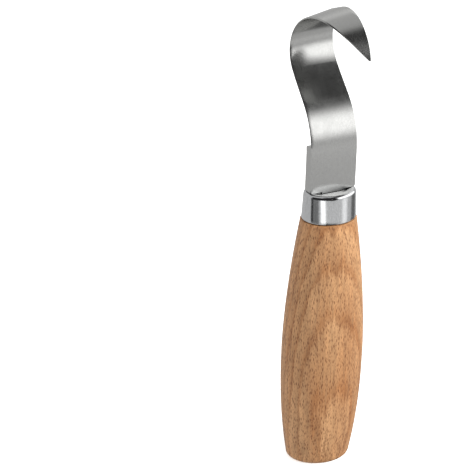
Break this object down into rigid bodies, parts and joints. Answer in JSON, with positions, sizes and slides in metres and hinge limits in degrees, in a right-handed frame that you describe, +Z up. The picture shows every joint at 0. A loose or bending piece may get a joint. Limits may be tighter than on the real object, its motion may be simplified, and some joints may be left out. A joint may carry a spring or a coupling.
{
  "type": "hook knife",
  "caption": "Right-handed hook knife for hollowing spoons and bowls: a wide steel blade rolled into an open hook, an oval steel ferrule and a barrel-shaped wooden handle.",
  "frame": {"origin": "centre of the flat butt face of the handle", "axes": "+Z up the handle's axis towards the hook, +X towards the blade's blunt spine edge, -Y the side the hook curls forward to"},
  "size_m": [0.0298, 0.0334, 0.165],
  "materials": {
    "blade": "fine-ground carbon tool steel, half bright",
    "ferrule": "drawn stainless steel, polished",
    "handle": "turned and sanded beech, oiled",
    "adhesive": "cured epoxy"
  },
  "bodies": {
    "root": {"blade": "blade", "ferrule": "ferrule", "handle": "handle", "tang_adhesive": "adhesive"}
  },
  "joints": []
}
